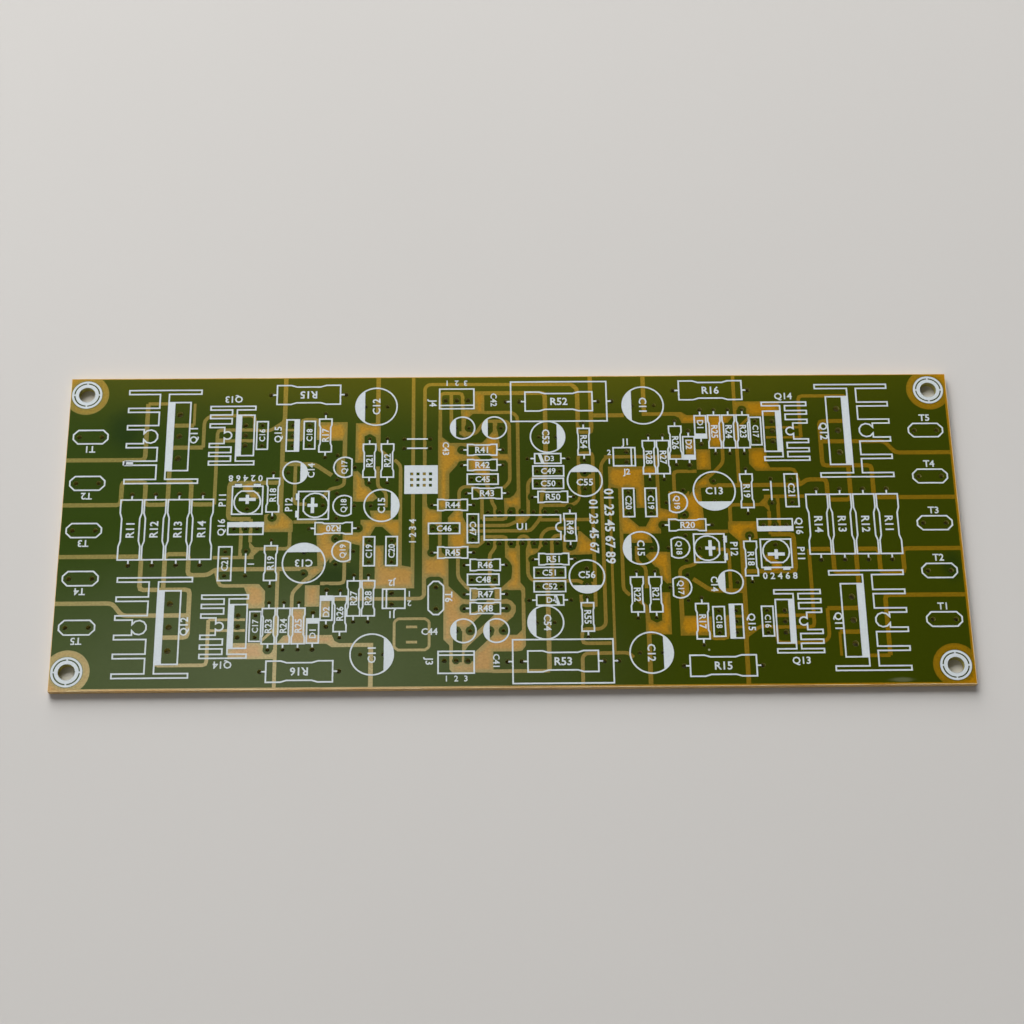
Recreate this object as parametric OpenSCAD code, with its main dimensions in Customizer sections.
// Bare circuit board of a two-channel audio amplifier, drilled but without its parts.
// One sheet of glass laminate carries etched copper on its underside and a white legend on its
// top. Two equal channels, one turned half round from the other, share a strip in the middle.
// The origin is the middle of the underside of the whole board. X runs along its length, Z up.

/* [Board] */
// Length of the board
board_len = 200; // [198:0.5:230]
// Width of the board
board_wid = 75; // [74.5:0.5:95]
// Thickness of the laminate
laminate_t = 1.6; // [0.8:0.1:3.2]
// How far the printed and etched pattern sits off the middle, along the board
pattern_off_x = -0.25; // [-0.4:0.05:0.4]
// How far the pattern sits off the middle, across the board
pattern_off_y = 0.1; // [-0.3:0.05:0.3]

/* [Mounting holes] */
// Diameter of a mounting hole
mount_hole_d = 3.6; // [3:0.1:4.2]
// Distance of a mounting hole from the end of the board
mount_edge_x = 4; // [3.8:0.1:5]
// Distance of a mounting hole from the side of the board
mount_edge_y = 4.25; // [4:0.05:5]
// Diameter of the copper land round a mounting hole
mount_land_d = 7.1; // [6.6:0.1:8]
// Diameter of the bare ring round that land
mount_clear_d = 10; // [9:0.2:11]

/* [Drilling] */
// Hole for a thin lead
lead_hole_d = 0.9; // [0.6:0.05:1.1]
// Hole for a connector, terminal or thick lead
pin_hole_d = 1.1; // [0.8:0.05:1.3]
// Hole for a power transistor lead
power_hole_d = 1.4; // [1.1:0.05:1.6]
// Diameter of the copper pad round a thin lead
lead_pad_d = 2.1; // [1.7:0.1:2.3]
// Diameter of the copper pad round a terminal or thick lead
pin_pad_d = 2.6; // [2.2:0.1:2.9]
// Diameter of the copper pad of a lead in a close row
row_pad_d = 1.75; // [1.5:0.05:1.9]

/* [Copper] */
// Thickness of the copper foil
foil_t = 0.035; // [0.018:0.001:0.14]
// Bare strip between the foil and the cut edge
foil_edge = 0.4; // [0.35:0.05:0.8]
// Width of a wide isolation gap between copper areas
wide_gap = 1; // [0.8:0.05:1.2]
// Width of a narrow isolation gap
thin_gap = 0.8; // [0.6:0.05:0.9]
// Width of the finest isolation gaps
fine_gap = 0.6; // [0.4:0.05:0.7]
// Width of a track across a bare area
track_w = 2; // [1.4:0.1:2.2]
// Radius at the bends of a gap
gap_bend = 0.9; // [0.3:0.1:1.2]

/* [Legend] */
// Thickness of the ink
ink_t = 0.03; // [0.02:0.005:0.08]
// Width of a printed line
line_w = 0.34; // [0.3:0.02:0.5]

/* [Outlines] */
// Body length of a two-watt resistor
res2w_len = 14.4; // [12:0.2:15]
// Body width of a two-watt resistor
res2w_wid = 4.8; // [4:0.1:5.2]
// Lead spacing of a two-watt resistor
res2w_pitch = 17; // [16:0.1:18]
// Body length of a quarter-watt resistor
res_len = 8.2; // [7:0.1:8.6]
// Body width of a quarter-watt resistor
res_wid = 2.8; // [2.2:0.1:3]
// Lead spacing of a quarter-watt resistor
res_pitch = 10.9; // [10.4:0.1:11.2]
// Body length of a small resistor
small_res_len = 6.6; // [5.6:0.1:6.8]
// Lead spacing of a small resistor
small_res_pitch = 9.2; // [8.6:0.1:9.4]
// Diameter of a large round capacitor
cap_large_d = 9.7; // [8:0.1:10]
// Diameter of a medium round capacitor
cap_medium_d = 8.1; // [7:0.1:8.4]
// Diameter of a small round capacitor
cap_small_d = 5.8; // [5:0.1:6]
// Body length of a box capacitor
box_len = 6.9; // [6:0.1:7.1]
// Body width of a box capacitor
box_wid = 2.5; // [2:0.1:2.7]
// Lead spacing of a box capacitor
box_pitch = 5.08; // [4.5:0.02:5.2]
// Side of a trimmer
trimmer_side = 7.1; // [6.2:0.1:7.3]
// Length of a blade terminal's outline
terminal_len = 8.1; // [7.6:0.1:8.6]
// Width of a blade terminal's outline
terminal_wid = 3.7; // [3:0.1:4.2]
// Distance of the terminals' middle from the end of the board
terminal_edge = 5.5; // [5.3:0.05:6]
// Distance from a mounting hole to the nearest terminal, across the board
terminal_to_hole = 10.39; // [10:0.01:10.9]
// Pin spacing of connectors, the chip and the small power devices
pin_pitch = 2.54; // [2.5:0.01:2.58]
// Lead spacing of a power transistor
power_pitch = 5.45; // [5:0.05:5.6]
// Spacing of the chip's two rows
chip_rows = 7.62; // [7.5:0.02:7.7]

/* [Hidden] */

$fn = 48;
laminate_color = [0.62, 0.47, 0.15];
copper_color = [0.72, 0.45, 0.28];
ink_color = [0.86, 0.87, 0.88];

// How far the gaps that leave the board run from the middle
run_x = board_len / 2 + 2;
run_y = board_wid / 2 + 2;
// From the middle of the board to the middle of the two channels, where the gap lists are placed
gap_off = [0.25, -0.1];
foil_z = foil_t;
ink_z = foil_t + laminate_t;
cut = 1;

// Spacing of the five terminals at each end, which are spread evenly between the mounting holes
terminal_pitch = (board_wid / 2 - mount_edge_y - terminal_to_hole) / 2;

// Where each kind of part goes in a channel: x, y and its turn in degrees
terminals = [for (k = [-2:2]) [terminal_edge - board_len / 2, k * terminal_pitch - 0.2, 0]];
power_sinks = [[-77.3, 22.7, 0], [-77.3, -23.15, 0]];
driver_sinks = [[-61.7, 22.85, 0], [-61.7, -23.05, 0]];
flat_transistors = [[-49, 22.75, 0], [-58.8, 0, 90]];
signal_transistors = [[-37.05, 14.75, 0], [-37.05, 5.35, 0], [-37.05, -5.6, 0]];
trimmers = [[-58.65, 6.85, 0], [-43.9, 5.5, 90]];
resistors_2w = concat([for (k = [0:3]) [-84.3 + k * 5.25, -0.1, 90]],
    [[-45.6, 32.95, 0], [-46, -33.5, 0]]);
resistors = [[-41.6, 22.7, 90], [-53, 8.05, 90], [-53, -8.3, 90], [-39.3, -0.1, 0],
    [-31.6, 16.35, 90], [-27.55, 16.35, 90], [-53, -23.05, 90], [-49.75, -23.05, 90],
    [-46.5, -23.05, 90], [-37.5, -20.35, 90], [-34.6, -16.75, 90], [-31.4, -16.75, 90]];
large_caps = [[-30.45, -29.75, 0], [-30.15, 29.85, 180], [-45.7, -8.35, 90]];
medium_caps = [[-28.75, 5.35, 0]];
small_caps = [[-48.2, 13.55, 0]];
box_caps = [[-55.85, 22.8, 90], [-55.85, -23.1, 90], [-45.2, 22.8, 90], [-31.4, -5.65, 90],
    [-26.4, -5.65, 90]];
wide_box_cap = [-63.05, -8.35, 90];
diodes = [[-43.35, -24.25, 90], [-40.5, -19, 90]];
channel_link = [-58.5, -8.3, 90];
test_plugs = [[-25.8, -16.9, 0]];

// The parts of the middle strip
middle_terminal = [-16.6, -16.8, 90];
middle_small_caps = [[-10.6, 24.35, 180], [-3.4, 24.35, 180], [-10.6, -24.5, 180],
    [-3.4, -24.5, 180]];
small_resistors = [[-6.2, 18.85, 0], [-6.2, 15.1, 0], [-5.2, 8.15, 0], [-12.9, 5.35, 0],
    [-12.9, -6.1, 0], [-5.75, -9.1, 0], [-5.75, -16, 0], [-5.8, -19.3, 0], [13.2, -0.25, 90],
    [9.5, 7.15, 0], [9.4, -7.85, 0]];
middle_box_caps = [[-6.15, 11.6, 0], [-14.8, -0.3, 0], [-8.4, -0.35, 90], [-6.2, -12.55, 0],
    [8.6, 13.5, 0], [8.5, 10.45, 0], [8.45, -11.05, 0], [8.4, -14.3, 0]];
signal_plugs = [[-11.9, 31.7, 180], [-12.2, -31.7, 0]];
middle_links = [[-20.85, 21.65, 0], [-20.85, 19.35, 0]];
chip = [2.6, -0.2, 0];
write_on_block = [-19.95, 11.6];
droppers = [[11.3, 30.9, 0], [10.95, -31.65, 0]];
filter_caps = [[8.6, 22, 0], [7.35, -22.7, 180], [16.75, 11.1, 90], [16.6, -12, 270]];
filter_resistors = [[16.75, 20.75, 90], [16.55, -21.5, 90]];
zeners = [[8.55, 16.6, 0], [8.4, -17.5, 180]];

// Gaps, bare areas and tracks of the copper, dimensioned from the middle of the board

channel_wide_gaps = [
    [[-run_x, -6.4], [-81.7, -6.4], [-81.7, -14.3], [-70.7, -14.3], [-70.7, -25.4], [-76.9, -25.4],
        [-76.9, -32]],
    [[-76.5, -14.3], [-76.5, -5.9], [-71.3, -5.9], [-71.3, -10.9], [-66.8, -10.9], [-65.4, -9.6],
        [-43, -9.6]],
    [[-run_x, -17.4], [-87.4, -17.4], [-85.1, -20.3], [-70.7, -20.3]],
    [[-run_x, 6], [-87, 6], [-87, 11.6], [-81.7, 11.6], [-81.7, 6], [-76.6, 6], [-76.6, 20],
        [-69.3, 20]],
    [[-76.6, 11.6], [-71.5, 11.6], [-71.5, 6], [-66.2, 6]],
    [[-run_x, 17], [-82.2, 17], [-82.2, 31]],
    [[-76.9, 25.5], [-71.6, 25.5]],
    [[-51.1, run_y], [-51.1, 27], [-51.4, 26], [-51.4, 3]],
    [[-51.4, 15.8], [-44, 15.6], [-40.2, 12.9]],
    [[-51.4, 11.2], [-63, 11.2], [-63, 2.4], [-58, 2.4]],
    [[-30, run_y], [-30, 25]],
    [[-30.9, -27.4], [-30.9, -run_y]]
];
channel_thin_gaps = [
    [[-76.9, -31.8], [-66.3, -31.8], [-66.3, -21.4]],
    [[-82.2, 31], [-76.9, 31], [-76.9, 25.5]],
    [[-69.3, 20], [-69.3, 26.7], [-68, 27.9], [-57.9, 27.9], [-57.9, 24.2]],
    [[-66.2, 6], [-66.2, 24.3], [-58, 24.3], [-54.4, 24], [-51.3, 26.3]],
    [[-66.2, 21.6], [-57.9, 21.6]],
    [[-65.3, -9.5], [-64.3, -13.5], [-55.8, -13.5]],
    [[-57.9, 2.4], [-57.9, -3.2]],
    [[-60, 2.4], [-60, -6.8]],
    [[-66, -6.8], [-57, -6.8]],
    [[-55.7, -4.8], [-49.2, -4.8], [-49.2, 0]],
    [[-51.6, -9.6], [-51.6, -run_y]],
    [[-48.3, -19], [-48.3, -15.2], [-45.9, -12.6], [-42.8, -9.7]],
    [[-42.2, -13.1], [-37, -13.1], [-37, -8]],
    [[-33.3, -4], [-33.3, -16.8]],
    [[-48.4, 16], [-48.4, 5.9], [-45.7, 5.9]],
    [[-48.5, 1.6], [-43.4, 1.6]],
    [[-29.9, 15], [-29.9, 10], [-28, 8.7], [-28, 5]],
    [[-26.2, 16.6], [-24.8, 15.3], [-24.8, -9]],
    [[-39, -16.8], [-21.5, -16.8]],
    [[-47.2, 21.7], [-47.2, 26.8], [-43.4, 26.8], [-43.4, 21.7]],
    [[-37.4, 12.4], [-37.4, 10.6], [-38.6, 9.9], [-40.6, 9.6], [-42.2, 7.4]]
];
channel_fine_gaps = [
    [[-66.3, -21.4], [-58.3, -21.4]],
    [[-66.3, -23.9], [-58.3, -23.9]],
    [[-51.4, 24.2], [-47.1, 24.2]],
    [[-51.4, 21.7], [-47.1, 21.7]],
    [[-54.6, -26.3], [-51.7, -23.4]],
    [[-71.6, 25.5], [-71.6, 31]]
];
channel_bare = [
    [[-61.8, -30.5], [-51.6, -30.5], [-51.6, -28.4], [-54.2, -28.4], [-54.2, -26.8],
        [-60.6, -26.8], [-61.8, -28]],
    [[-59.2, -13.1], [-55.6, -13.1], [-54.2, -14.8], [-54.2, -18.8], [-58.2, -18.8],
        [-58.2, -15.4]],
    [[-51.4, -27.1], [-49.9, -25.2], [-48.6, -24.9], [-48.6, -18.8], [-45.2, -18.8],
        [-45.2, -27.1]],
    [[-45.3, -25.1], [-39.4, -25.1], [-38.8, -26.5], [-37.8, -27], [-30.4, -27],
        [-30.4, -27.9], [-39.4, -27.9], [-40.6, -27.1], [-45.3, -27.1]],
    [[-45.5, -13.5], [-45.5, -18.5], [-42.3, -18.5], [-42.3, -13.5]],
    [[-42, -21], [-40, -21], [-40, -17.2], [-42, -17.2]],
    [[-46.3, -9.4], [-41.7, -8.8], [-41.5, -9.8], [-44.8, -12.6], [-45.6, -12],
        [-44.7, -11.1]],
    [[-42.9, -9], [-41.3, -8.6], [-40.1, -7], [-40, -3], [-38, -1.7], [-38, 1.2],
        [-43.3, 1.2], [-43.3, -1.7]],
    [[-40.3, -2.8], [-35.7, -2.8], [-35.7, -8.2], [-40.3, -8.2]],
    [[-37.5, -1], [-33, -1], [-33, -4.3], [-37.5, -3.2]],
    [[-35, 16], [-33, 16], [-33, 22.5], [-31.8, 23.1], [-30.5, 22.3], [-30, 19],
        [-27.8, 17], [-27.8, 18.1], [-29.4, 19.5], [-29.4, 25.8], [-35, 25.8]],
    [[-35.4, 15], [-33.3, 12.7], [-32.7, 10.9], [-31, 8.8], [-29.9, 7.3], [-31, 6.4],
        [-35.4, 6.4]],
    [[-31.6, 4.2], [-26.4, 4.2], [-26.5, 1.9], [-31, 1.9]],
    [[-33.6, 2], [-24.4, 2], [-24.4, -4.2], [-26.3, -4.2], [-26.2, -2.2], [-28.8, 0.3],
        [-30.3, 0.3], [-31.5, -2], [-31.5, -4.1], [-33.6, -4.3]],
    [[-33, -14.4], [-22.3, -14.4], [-22.3, -9.4], [-25.2, -8.8], [-28.4, -8.8],
        [-28.4, -4.2], [-30.3, -4.2], [-30.3, -12.2], [-33, -12.2]],
    [[-43.2, 21.5], [-43.2, 26.1], [-36.9, 26.1], [-36.9, 17.2], [-37.9, 17.2],
        [-37.9, 21.5]],
    [[-39.2, 13], [-37.3, 12.2], [-37.3, 17.4], [-39.2, 16.6]],
    [[-55, 3.4], [-51, 4.1], [-48.6, 1.8], [-48.6, -0.8], [-55, -0.8]],
    [[-58.1, -3], [-56.9, -4.4], [-55.1, -4.5], [-57.7, -7.1], [-58.1, -7.1]],
    [[-60, 10.8], [-57.7, 10.8], [-57.7, 9.2], [-56.3, 8.9], [-56.3, 7.4], [-57.7, 7],
        [-58.5, 8.2], [-60, 9.4]],
    [[-66.1, 21.4], [-64, 21.4], [-64, 22.2], [-66.1, 22.2]]
];

middle_wide_gaps = [
    [[-8, 33.2], [7.9, 33.2], [7.9, 24], [7.8, 15], [7.3, 9.3], [6.8, 7.6]],
    [[14, 35.3], [15.3, 34.2], [15.3, 24]],
    [[18.3, run_y], [18.3, 24]],
    [[18.3, 27.4], [25.8, 27.4]],
    [[15.3, 12.2], [18.3, 12.2]],
    [[-5.2, -21.7], [-7.9, -25.2], [-9, -26.7], [-10.3, -27.8], [-10.9, -29]],
    [[-10.6, 27.5], [-10.6, 23.4]],
    [[-3.5, 26.2], [-3.5, 22]],
    [[7.7, -12.9], [7.7, -33.7]]
];
middle_thin_gaps = [
    [[-19.4, 8], [-19.4, 34.7], [-18.5, 35.5], [14.2, 35.3]],
    [[-22, run_y], [-22, -14.4]],
    [[-22, -16.8], [-20.1, -16.8], [-19.4, -16], [-19.4, -12]],
    [[15.3, 24.2], [15.3, 23.2], [18.3, 23.2], [18.3, 24.2]],
    [[6.6, 5.2], [13, 5.2], [14.5, 5.7], [15.2, 7.2], [15.2, 18], [18.4, 18], [18.4, 7],
        [18.1, 5.8], [18.1, -7]],
    [[7.1, 8.8], [6.7, 7.2], [6.6, 5.2], [6.4, 2.1], [5, 0.2], [4.1, -0.9], [-9.8, -0.9]],
    [[-6, 28.3], [0.4, 28.3], [1.6, 27.2], [1.6, 3]],
    [[-5.7, 26.1], [-1, 26.1], [-0.3, 25.3], [-0.3, 11], [-1.8, 9.5]],
    [[-15.9, 21], [-15.9, 33.2], [-10.8, 33.2], [-10.8, 28]],
    [[-13.4, 33.2], [-13.4, 25]],
    [[2.3, -14.5], [2.3, -26]],
    [[3.7, 2.6], [3.7, 10.8], [4.9, 12.1], [7.8, 12.1]],
    [[3.4, -7], [3.4, -11.6], [4.5, -12.9], [14.6, -12.9], [15.6, -13.6], [18.1, -13.6]],
    [[8.8, -13], [8.8, -3], [9.6, -2.1], [11.6, -2.1], [11.6, -6]],
    [[14.9, -0.4], [7.9, -0.4], [6.4, -2], [6.4, -4.8]],
    [[6.4, 1.7], [18.1, 1.7]],
    [[22.8, 17], [21.4, 16.9], [20.2, 15.2], [20.2, -23.2], [19.1, -24.2], [15, -24.2],
        [15, -27.5], [21.3, -27.5]],
    [[14.9, -run_y], [14.9, -30.6], [15.7, -29.8], [24.8, -29.7], [26, -30.8]],
    [[-13.4, -26.5], [-13.4, -33]],
    [[-10.9, -29], [-10.9, -33]],
    [[-12, -7], [-12, -12], [-9.6, -14.8], [-8, -15]],
    [[-3.8, -2.3], [-3.8, -5.1], [-5, -6.4], [-5, -13.8], [-3.4, -14.8], [-2, -14.8]],
    [[-6.6, -2.3], [-1.2, -2.3], [-1.2, -4.6]],
    [[-6.6, 1.9], [-1.2, 1.9], [-1.2, 4.6]],
    [[-9.8, 0.4], [-0.7, 0.4], [0.9, 1.3]],
    [[-11.7, 4], [-11.7, 8.9], [-10.8, 9.9], [-8.6, 9.9], [-7, 8.6], [-6.6, 7.6], [-6.6, 1.9]],
    [[-3.7, 1.9], [-3.7, 4.9], [-4.3, 5.8], [-4.5, 7]],
    [[1.3, -5], [1.3, -3], [2, -2.2], [3.1, -2.2], [3.8, -3], [3.8, -5]],
    [[15, -16.2], [15, -18.7], [18.1, -18.7]],
    [[18.1, -6], [18.1, -19]],
    [[7.8, -33.7], [-4.7, -33.7]],
    [[-10.6, 23.2], [-8.6, 22.8], [-7.6, 23.4], [-6.5, 25.2], [-5.6, 26.1]]
];
middle_fine_gaps = [
    [[22, 10], [22, -29.8]],
    [[-23.3, -23.4], [-20.9, -23.4]],
    [[-23.3, -26.9], [-20.9, -26.9]]
];
// Small etched frame, given anticlockwise
etched_frame = [[-25, -28.7], [-19.2, -28.7], [-18.5, -28.2], [-18.3, -27.8], [-18.3, -22.4],
    [-18.5, -22], [-19.2, -21.5], [-25, -21.5], [-25.7, -22], [-25.9, -22.4], [-25.9, -27.8],
    [-25.7, -28.2]];
middle_bare = [
    [[-16.4, 4.3], [-14.5, 4.3], [-14.4, 6.5], [-13.9, 7.2], [-13.9, 13.1], [-11.5, 15.9],
        [-10.6, 16.3], [-9.5, 16.3], [-9.5, 13.7], [-7.7, 13.2], [-6.4, 12.2], [-5.7, 9.6],
        [-4.9, 6.8], [-4.1, 6.8], [-4.6, 8.5], [-4.9, 10.3], [-4.7, 16.4], [-1.2, 16.3],
        [-0.7, 15.6], [-0.7, 17.9], [-2.5, 17.9], [-2.5, 20.5], [-2.9, 23.5], [-4.1, 23.5],
        [-5, 22.3], [-6.5, 20.7], [-13.7, 20.7], [-15.5, 22.2], [-15.5, 24], [-16.4, 24]],
    [[-19.9, 8.2], [-18.9, 8.2], [-18.9, 5.9], [-18.2, 4.8], [-17.3, 4.3], [-15.3, 4.3],
        [-15.6, 3.7], [-15.6, -5.9], [-14.1, -7.4], [-14.1, -12], [-15.2, -12.3],
        [-16.1, -11.7], [-18.2, -11.7], [-19, -12.2], [-19, -16], [-19.9, -16]],
    [[-12.4, 4.5], [-13.1, 3.7], [-14.2, 2.4], [-14.2, -4.6], [-12.9, -5.5], [-12.4, -7.4],
        [-11.5, -7.4], [-11.4, -5.2], [-9.8, -4.9], [-7.6, -4.9], [-6, -3.6], [-6, -2],
        [-7, -2], [-7, -3.4], [-7.4, -4.1], [-9.3, -4.1], [-9.8, -3.7], [-9.8, 0.8],
        [-10.3, 1.3], [-10.9, 2.6], [-10.9, 4.5]],
    [[-1.7, 7], [-0.3, 7.1], [0.6, 7.8], [1.2, 8.9], [1.9, 8.9], [1.9, 2.6], [3.3, 2.6],
        [4.1, 3], [4, 2.3], [3, 1.1], [2.4, 0.8], [0.8, 0.8], [0.9, 4.2], [0.6, 4.8],
        [-0.6, 4.8], [-0.8, 4.2], [-1.6, 4.2]],
    [[-1.6, -4.3], [-0.8, -4.3], [-0.6, -5], [0.5, -5.1], [0.9, -4.3], [1.7, -4.3],
        [1.7, -13.2], [2.7, -14.5], [2.7, -15.6], [1.9, -15.6], [1.7, -15], [-2.4, -15],
        [-2.4, -14.3], [-0.3, -12.3], [-0.1, -10.8], [-0.1, -9.3], [-0.6, -8.3], [-1.6, -7.2]],
    [[3.3, -4.3], [4.1, -4.3], [4.3, -5.2], [5.7, -5.2], [5.9, -4.3], [6.8, -4.3],
        [6.2, -5.3], [5.5, -6.2], [4.4, -6.8], [3.8, -7.7], [3.8, -9], [3, -9], [3, -5.5]],
    [[11.2, -4], [12, -4], [12.3, -5.4], [13, -5.6], [13.9, -5.5], [14.3, -4.6], [14.7, -1],
        [15.3, -1.2], [17.4, -3.2], [18.4, -4.2], [18.4, -6.6], [12.7, -6.8], [11.3, -6.3]],
    [[-8.1, 33.7], [-5.9, 33.7], [-5.9, 28], [-8.5, 28], [-9.3, 27.2], [-10, 26.6],
        [-11.1, 26.6], [-11.2, 29], [-8.1, 29]],
    [[-11.6, 23.6], [-9.4, 23.6], [-8.4, 22.9], [-10.4, 22.1], [-11.6, 22.9]],
    [[-15.2, -12.3], [-14.1, -12], [-14.1, -13.9], [-11, -17], [-9.2, -17.2], [-2.4, -17.2],
        [-1.4, -17], [-0.3, -17.5], [0.6, -18.6], [0.6, -20], [0, -21.2], [-1.6, -22.6],
        [-2.4, -23.2], [-2.4, -25.4], [0.8, -25.4], [2, -24.2], [2.7, -24.2], [2.7, -27.9],
        [1.9, -29], [0.8, -29.2], [-4.4, -29.2], [-4.4, -34], [-13.3, -33.9],
        [-13.9, -33.2], [-13.9, -27.7], [-15.2, -26.4]],
    [[-8.9, -14.6], [-7.6, -14.6], [-7.4, -16], [-8.3, -17.3], [-8.9, -17.3]],
    [[-4, -14.8], [-2.6, -14.8], [-2.6, -17.3], [-4, -17.3]]
];
middle_tracks = [
    [[-10.7, 18.8], [-7.6, 18.8], [-4.2, 15.6], [-3, 15.1]],
    [[-17.4, 0], [-17.4, -6]],
    [[-12.4, -0.2], [-15, -0.2]],
    [[-10.2, -19.2], [-8.6, -19.2], [-6.5, -17.2], [-6.4, -14]],
    [[-1.2, -19.2], [-4, -19.2], [-9.1, -24.3]],
    [[-4.9, -24.5], [-9.7, -29.2], [-9.7, -31.4]],
    [[-1.9, -24.3], [0.6, -23.4]],
    [[-12.1, -24.4], [-12.2, -31.6]]
];

// Fixed proportions of the outlines, lengths before widths
tick_len = 0.8;
wide_box = [8, 2.9];
diode_body = [5.6, 2.6];
diode_band = 1.1;
zener_body = [5.9, 2.4];
link_len = 4.7;
flat_body = [2.8, 7.8];
flat_face = [1.25, 7.8];
can_r = 2.5;
can_flat = 1.55;
dial_r = 2.95;
slot_w = 0.75;
terminal_corner = 1.1;
test_plug = [4.5, 4.9];
signal_plug = [7.8, 5];
key_wall = 0.85;
chip_body = [17, 5.9];
chip_notch_r = 1.1;
dropper_body = [21.8, 10];
small_dropper_body = [15.3, 4.8];
block = [7.5, 7];
block_cell = 0.7;

// Fixed lead spacings
large_cap_pitch = 5;
medium_cap_pitch = 4.8;
small_cap_pitch = 3;
filter_cap_pitch = 3.9;
wide_box_pitch = 5.7;
diode_pitch = 8.5;
link_pitch = 5.9;
dropper_pitch = 24;
small_dropper_pitch = 17.8;
terminal_pin_pitch = 5.08;
can_leads = [[-1.7, -3], [-1.7, 3], [2.2, 0]];
trimmer_leads = [[-2.2, 3.2], [2.2, 3.2], [0, -2.1]];

// Bare square at each corner of the board, beyond the ring round the mounting hole
corner_clear = 2.2;

// Paths and strips

function unit(v) = v / norm(v);

function right_of(a, b) = let (v = unit(b - a)) [v.y, -v.x];

// Sideways direction at point i of an open path, long enough to keep a mitred width
function miter(pts, i) =
    let (
        n = len(pts),
        a = i == 0 ? right_of(pts[0], pts[1]) : right_of(pts[i - 1], pts[i]),
        b = i == n - 1 ? a : right_of(pts[i], pts[i + 1])
    )
    (a + b) / (1 + a * b);

// Outline of a strip of width w along an open path
function strip(pts, w) =
    let (n = len(pts), h = w / 2)
    concat([for (i = [0:n - 1]) pts[i] + h * miter(pts, i)],
        [for (i = [n - 1:-1:0]) pts[i] - h * miter(pts, i)]);

// A closed outline, given anticlockwise, moved outward by d
function grown(pts, d) =
    let (n = len(pts))
    [for (i = [0:n - 1])
        let (a = right_of(pts[(i + n - 1) % n], pts[i]), b = right_of(pts[i], pts[(i + 1) % n]))
        pts[i] + d * (a + b) / (1 + a * b)];

// An open path with each inner corner eased by three points of a curve
function eased(pts, r) =
    let (n = len(pts))
    concat([pts[0]],
        [for (i = [1:n - 2])
            let (
                before = pts[i - 1] - pts[i],
                after = pts[i + 1] - pts[i],
                reach = min(r, 0.45 * norm(before), 0.45 * norm(after)),
                a = pts[i] + reach * unit(before),
                b = pts[i] + reach * unit(after)
            )
            each [a, (a + 2 * pts[i] + b) / 4, b]],
        [pts[n - 1]]);

function box_points(l, w) = [[-l / 2, -w / 2], [l / 2, -w / 2], [l / 2, w / 2], [-l / 2, w / 2]];

module strip_2d(pts, w) { polygon(strip(pts, w)); }

module line_2d(a, b) { polygon(strip([a, b], line_w)); }

// Line of width w round a closed outline, centred on it
module loop_2d(pts, w = line_w) {
    n = len(pts);
    polygon(concat(grown(pts, w / 2), grown(pts, -w / 2)),
        paths = [[for (i = [0:n - 1]) i], [for (i = [0:n - 1]) n + i]]);
}

module ring_2d(d) {
    difference() {
        circle(d = d);
        circle(d = d - 2 * line_w);
    }
}

module ink() {
    color(ink_color) translate([0, 0, ink_z]) linear_extrude(ink_t) children();
}

// Children in each place of a list
module placed(places) {
    for (p = places) translate([p[0], p[1]]) rotate(p[2]) children();
}

// Children in both channels
module both_channels() {
    for (turn = [0, 180]) rotate(turn) children();
}

module in_pattern() { translate([pattern_off_x, pattern_off_y]) children(); }

// Outlines of the parts, each about its own middle with its leads along X

// Waisted body of a wire-ended resistor
function waisted(l, w, waist, shoulder) =
    let (x = l / 2, y = w / 2, s = x - shoulder, t = s - 0.4 * shoulder)
    [[-x, -y], [-s, -y], [-t, -waist / 2], [t, -waist / 2], [s, -y], [x, -y],
        [x, y], [s, y], [t, waist / 2], [-t, waist / 2], [-s, y], [-x, y]];

module ticks_2d(l) {
    for (s = [-1, 1]) line_2d([s * l / 2, 0], [s * (l / 2 + line_w / 2 + tick_len), 0]);
}

module resistor_2w_2d() {
    loop_2d(waisted(res2w_len, res2w_wid, res2w_wid - 0.8, 3.2));
    ticks_2d(res2w_len);
}

module resistor_2d() {
    loop_2d(waisted(res_len, res_wid, res_wid - 0.5, 1.5));
    ticks_2d(res_len);
}

module small_resistor_2d() {
    loop_2d(waisted(small_res_len, res_wid - 0.1, res_wid - 0.4, 1.2));
    ticks_2d(small_res_len);
}

// Round can with its marked side filled, the mark towards +X
module round_cap_2d(d, mark_x) {
    ring_2d(d);
    intersection() {
        circle(d = d - line_w);
        translate([mark_x, -d / 2]) square([d / 2 - mark_x, d]);
    }
}

module box_cap_2d(l, w) { loop_2d(box_points(l, w)); }

// Diode body with a filled band at its +X end
module diode_2d() {
    loop_2d(box_points(diode_body.x, diode_body.y));
    translate([diode_body.x / 2 - diode_band, -diode_body.y / 2])
        square([diode_band, diode_body.y]);
    ticks_2d(diode_body.x);
}

module terminal_2d() {
    x = terminal_len / 2 - line_w / 2;
    y = terminal_wid / 2 - line_w / 2;
    c = terminal_corner;
    loop_2d([[-x + c, -y], [x - c, -y], [x, -y + c], [x, y - c], [x - c, y], [-x + c, y],
        [-x, y - c], [-x, -y + c]]);
}

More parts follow.
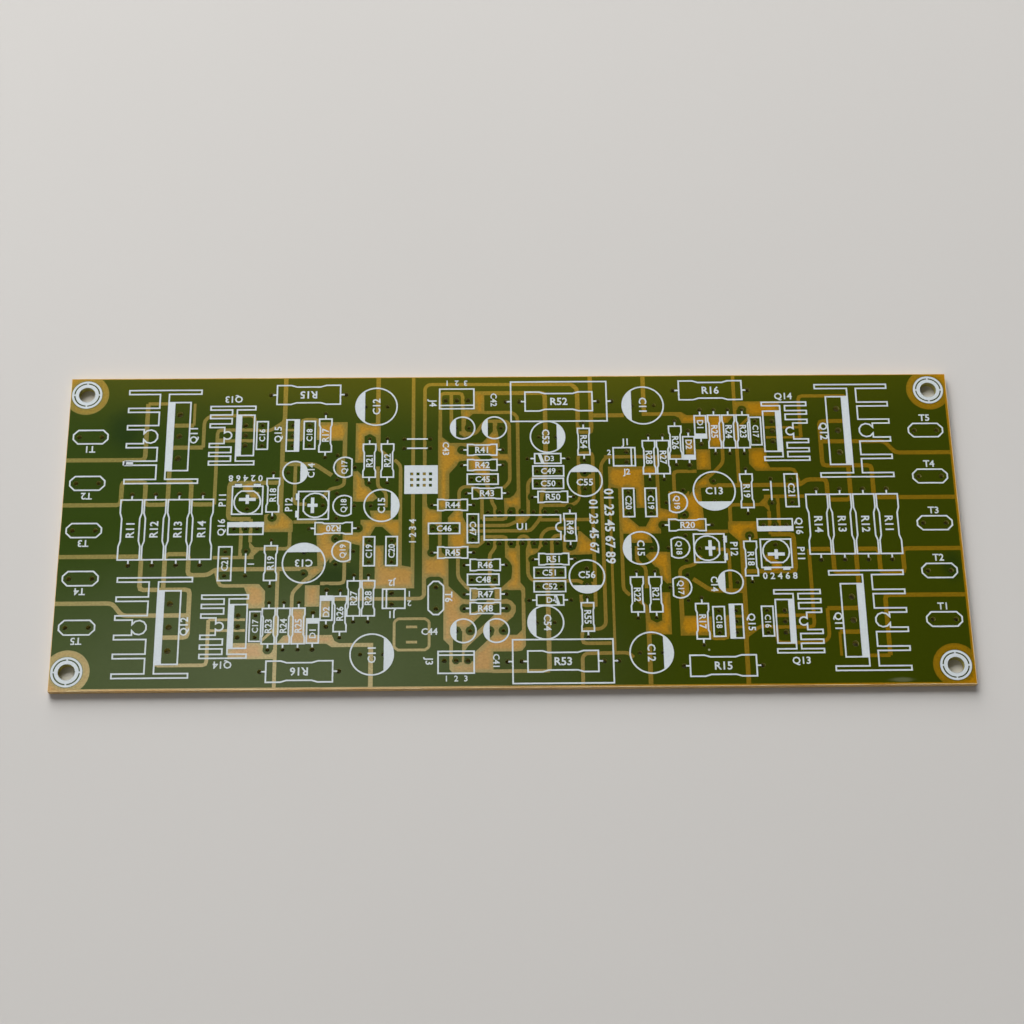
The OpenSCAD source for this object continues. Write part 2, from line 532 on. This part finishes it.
// Finned extrusion seen end on. Its web runs along Y at x from -web to 0, two flanges cross
// its ends, fins reach to -X, and a round screw channel opens between the middle fins, its
// mouth from -mouth to mouth degrees.
function sink_points(half, t, tip, web, flange, fins, screw_r, neck, mouth) =
    let (
        arc_x = -neck - screw_r * cos(mouth),
        screw = [for (k = [0:9]) let (a = 180 - mouth - k * (180 - mouth) / 4.5)
            [-neck + screw_r * cos(a), screw_r * sin(a)]],
        lower = [for (y = [-fins[1], -fins[0]])
            each [[-web, y - t / 2], [-tip, y - t / 2], [-tip, y + t / 2],
                [y == -fins[0] ? arc_x : -web, y + t / 2]]],
        upper = [for (y = [fins[0], fins[1]])
            each [[y == fins[0] ? arc_x : -web, y - t / 2], [-tip, y - t / 2],
                [-tip, y + t / 2], [-web, y + t / 2]]]
    )
    concat([[-web, -half + t], [-tip, -half + t], [-tip, -half], [flange, -half],
            [flange, -half + t], [0, -half + t], [0, half - t], [flange, half - t],
            [flange, half], [-tip, half], [-tip, half - t], [-web, half - t]],
        [for (i = [len(upper) - 1:-1:0]) upper[i]], screw,
        [for (i = [len(lower) - 1:-1:0]) lower[i]]);

// Transistor box with its filled mounting face on the web and its leads along Y
module tab_box_2d(l, w, bar) {
    loop_2d([for (p = box_points(w, l)) p + [w / 2, 0]]);
    translate([-line_w / 2, -l / 2]) square([bar, l]);
}

module power_sink_2d() {
    loop_2d(sink_points(half = 11.6, t = 1, tip = 9.05, web = 2.05, flange = 7.35,
        fins = [2.25, 6.6], screw_r = 1.65, neck = 3.75, mouth = 27));
    tab_box_2d(l = 17, w = 5, bar = 1.65);
}

module driver_sink_2d() {
    loop_2d(sink_points(half = 7.3, t = 0.9, tip = 6, web = 1.1, flange = 4.15,
        fins = [2.45, 4.7], screw_r = 0.95, neck = 2, mouth = 42));
    tab_box_2d(l = 10.1, w = 4, bar = 1.35);
}

module flat_transistor_2d() {
    loop_2d(box_points(flat_body.x, flat_body.y));
    translate([flat_body.x / 2 + line_w / 2 - flat_face.x, -flat_face.y / 2]) square(flat_face);
}

// Round body with one flat side, the flat towards +X
module signal_transistor_2d() {
    half = acos(can_flat / can_r);
    step = (360 - 2 * half) / 14;
    loop_2d([for (k = [0:14]) can_r * [cos(half + k * step), sin(half + k * step)]]);
}

// Square body, a dial cut flat on one side, a cross slot and two lead tabs
module trimmer_2d() {
    half = trimmer_side / 2 - line_w / 2;
    loop_2d(box_points(2 * half, 2 * half));
    translate([0, -0.4]) loop_2d([for (k = [0:16]) dial_r * [cos(118 + k * 19), sin(118 + k * 19)]]);
    translate([0, 0.2]) {
        square([5 * slot_w, slot_w], center = true);
        square([slot_w, 3 * slot_w], center = true);
    }
    for (s = [-1, 1]) translate([s * 2.1, half + 0.2]) square([1.6, 0.8], center = true);
}

// Shrouded plug with its pins along X and its key wall doubled towards +Y
module plug_2d(size) {
    loop_2d(box_points(size.x, size.y));
    line_2d([-size.x / 2, size.y / 2 - key_wall], [size.x / 2, size.y / 2 - key_wall]);
}

module chip_2d() {
    x = chip_body.x / 2;
    y = chip_body.y / 2;
    r = chip_notch_r;
    loop_2d(concat([[-x, -y], [x, -y]], [for (a = [-90:-30:-270]) [x + r * cos(a), r * sin(a)]],
        [[x, y], [-x, y]]));
}

// The legend

module legend_mounting_rings() {
    ink() in_pattern() mounting_places() {
        difference() {
            circle(d = mount_land_d - 0.2);
            circle(d = mount_land_d - 1.2);
        }
        difference() {
            circle(d = mount_land_d - 1.8);
            circle(d = mount_hole_d + 0.1);
        }
        for (a = [0:90:270]) rotate(a) translate([mount_land_d / 2 - 1.2, -0.18]) square([1, 0.36]);
    }
}

module legend_terminals() {
    ink() in_pattern() {
        both_channels() placed(terminals) terminal_2d();
        placed([middle_terminal]) terminal_2d();
    }
}

module legend_power_sinks() {
    ink() in_pattern() both_channels() placed(power_sinks) power_sink_2d();
}

module legend_driver_sinks() {
    ink() in_pattern() both_channels() placed(driver_sinks) driver_sink_2d();
}

module legend_flat_transistors() {
    ink() in_pattern() both_channels() placed(flat_transistors) flat_transistor_2d();
}

module legend_signal_transistors() {
    ink() in_pattern() both_channels() placed(signal_transistors) signal_transistor_2d();
}

module legend_trimmers() {
    ink() in_pattern() both_channels() placed(trimmers) trimmer_2d();
}

module legend_resistors_2w() {
    ink() in_pattern() both_channels() placed(resistors_2w) resistor_2w_2d();
}

module legend_resistors() {
    ink() in_pattern() {
        both_channels() placed(resistors) resistor_2d();
        placed(small_resistors) small_resistor_2d();
    }
}

module legend_round_capacitors() {
    ink() in_pattern() {
        both_channels() {
            placed(large_caps) round_cap_2d(cap_large_d, 2.6);
            placed(medium_caps) round_cap_2d(cap_medium_d, 2.1);
            placed(small_caps) round_cap_2d(cap_small_d, 1.2);
        }
        placed(middle_small_caps) round_cap_2d(cap_small_d, 1.5);
    }
}

module legend_box_capacitors() {
    ink() in_pattern() {
        both_channels() {
            placed(box_caps) box_cap_2d(box_len, box_wid);
            placed([wide_box_cap]) box_cap_2d(wide_box.x, wide_box.y);
        }
        placed(middle_box_caps) box_cap_2d(box_len, box_wid);
    }
}

module legend_diodes() {
    ink() in_pattern() both_channels() placed(diodes) diode_2d();
}

module legend_links() {
    ink() in_pattern() {
        both_channels() placed([channel_link]) line_2d([-link_len / 2, 0], [link_len / 2, 0]);
        placed(middle_links) line_2d([-link_len / 2, 0], [link_len / 2, 0]);
    }
}

module legend_connectors() {
    ink() in_pattern() {
        both_channels() placed(test_plugs) rotate(90) plug_2d(test_plug);
        placed(signal_plugs) plug_2d(signal_plug);
    }
}

module legend_chip() {
    ink() in_pattern() placed([chip]) chip_2d();
}

module legend_supply_filters() {
    ink() in_pattern() {
        placed(droppers) {
            loop_2d(box_points(dropper_body.x, dropper_body.y));
            loop_2d(waisted(small_dropper_body.x, small_dropper_body.y,
                small_dropper_body.y - 0.8, 3.2));
            ticks_2d(small_dropper_body.x);
            ticks_2d(dropper_body.x);
        }
        placed(filter_caps) round_cap_2d(cap_medium_d, 2.1);
        placed(filter_resistors) small_resistor_2d();
        placed(zeners) {
            loop_2d(box_points(zener_body.x, zener_body.y));
            strip_2d([[-1.9, zener_body.y / 2], [-1.1, -zener_body.y / 2]], 0.7);
            ticks_2d(zener_body.x);
        }
    }
}

module legend_write_on_block() {
    ink() in_pattern() translate(write_on_block) difference() {
        square(block, center = true);
        for (kx = [-3:2:3], ky = [-2:2:2]) translate(block_cell * [kx, ky])
            square(block_cell, center = true);
    }
}

// Drilled holes

module mounting_places() {
    x = board_len / 2 - mount_edge_x;
    y = board_wid / 2 - mount_edge_y;
    for (sx = [-1, 1], sy = [-1, 1]) translate([sx * x, sy * y]) children();
}

// Children at n leads in a row along X, about the middle
module in_row(n, pitch) {
    for (k = [0:n - 1]) translate([(k - (n - 1) / 2) * pitch, 0]) children();
}

module thin_leads() {
    both_channels() {
        placed(resistors) in_row(2, res_pitch) children();
        placed(box_caps) in_row(2, box_pitch) children();
        placed([wide_box_cap]) in_row(2, wide_box_pitch) children();
        placed(large_caps) in_row(2, large_cap_pitch) children();
        placed(medium_caps) in_row(2, medium_cap_pitch) children();
        placed(small_caps) in_row(2, small_cap_pitch) children();
        placed([channel_link]) in_row(2, link_pitch) children();
        placed(signal_transistors) for (p = can_leads) translate(p) children();
        placed(trimmers) for (p = trimmer_leads) translate(p) children();
    }
    placed(small_resistors) in_row(2, small_res_pitch) children();
    placed(filter_resistors) in_row(2, small_res_pitch) children();
    placed(middle_box_caps) in_row(2, box_pitch) children();
    placed(middle_small_caps) in_row(2, small_cap_pitch) children();
    placed(filter_caps) in_row(2, filter_cap_pitch) children();
    placed(zeners) in_row(2, small_res_pitch) children();
    placed(middle_links) in_row(2, link_pitch) children();
}

module thin_row_leads() {
    both_channels() placed(flat_transistors) rotate(90) in_row(3, pin_pitch) children();
    placed([chip]) for (s = [-1, 1]) translate([0, s * chip_rows / 2]) in_row(7, pin_pitch)
        children();
}

module thick_leads() {
    both_channels() {
        placed(terminals) in_row(2, terminal_pin_pitch) children();
        placed(resistors_2w) in_row(2, res2w_pitch) children();
        placed(diodes) in_row(2, diode_pitch) children();
    }
    placed([middle_terminal]) in_row(2, terminal_pin_pitch) children();
    placed(droppers) {
        in_row(2, small_dropper_pitch) children();
        in_row(2, dropper_pitch) children();
    }
}

module thick_row_leads() {
    both_channels() {
        placed(driver_sinks) translate([2.05, 0]) rotate(90) in_row(3, pin_pitch) children();
        placed(test_plugs) translate([-0.5, 0]) rotate(90) in_row(2, pin_pitch) children();
    }
    placed(signal_plugs) translate([0, 0.4]) in_row(3, pin_pitch) children();
}

module power_leads() {
    both_channels() placed(power_sinks) translate([2.7, 0]) rotate(90) in_row(3, power_pitch)
        children();
}

module drilled() {
    translate([0, 0, -cut]) linear_extrude(laminate_t + foil_t + 2 * cut) in_pattern() {
        thin_leads() circle(d = lead_hole_d);
        thin_row_leads() circle(d = lead_hole_d);
        thick_leads() circle(d = pin_hole_d);
        thick_row_leads() circle(d = pin_hole_d);
        power_leads() circle(d = power_hole_d);
        mounting_places() circle(d = mount_hole_d);
    }
}

// The board

module board_laminate() {
    color(laminate_color) difference() {
        translate([-board_len / 2, -board_wid / 2, foil_z]) cube([board_len, board_wid, laminate_t]);
        drilled();
    }
}

module gaps_2d(paths, w) {
    for (p = paths) polygon(strip(eased(p, gap_bend), w));
}

module bare_2d(areas) {
    for (a = areas) polygon(a);
}

module etched_2d() {
    both_channels() translate(gap_off) {
        gaps_2d(channel_wide_gaps, wide_gap);
        gaps_2d(channel_thin_gaps, thin_gap);
        gaps_2d(channel_fine_gaps, fine_gap);
        bare_2d(channel_bare);
    }
    translate(gap_off) {
        gaps_2d(middle_wide_gaps, wide_gap);
        gaps_2d(middle_thin_gaps, thin_gap);
        gaps_2d(middle_fine_gaps, fine_gap);
        loop_2d(etched_frame, fine_gap);
        bare_2d(middle_bare);
    }
    mounting_places() circle(d = mount_clear_d);
    for (sx = [-1, 1], sy = [-1, 1]) translate([sx * board_len / 2, sy * board_wid / 2])
        square(2 * corner_clear, center = true);
}

module pads_2d() {
    thin_leads() circle(d = lead_pad_d);
    thick_leads() circle(d = pin_pad_d);
    thin_row_leads() circle(d = row_pad_d);
    thick_row_leads() circle(d = row_pad_d);
    mounting_places() circle(d = mount_land_d);
}

module copper_2d() {
    difference() {
        square([board_len - 2 * foil_edge, board_wid - 2 * foil_edge], center = true);
        etched_2d();
    }
    translate(gap_off) gaps_2d(middle_tracks, track_w);
    pads_2d();
}

module copper_foil() {
    color(copper_color) difference() {
        in_pattern() linear_extrude(foil_t) copper_2d();
        drilled();
    }
}

board_laminate();
copper_foil();
legend_mounting_rings();
legend_terminals();
legend_power_sinks();
legend_driver_sinks();
legend_flat_transistors();
legend_signal_transistors();
legend_trimmers();
legend_resistors_2w();
legend_resistors();
legend_round_capacitors();
legend_box_capacitors();
legend_diodes();
legend_links();
legend_connectors();
legend_chip();
legend_supply_filters();
legend_write_on_block();
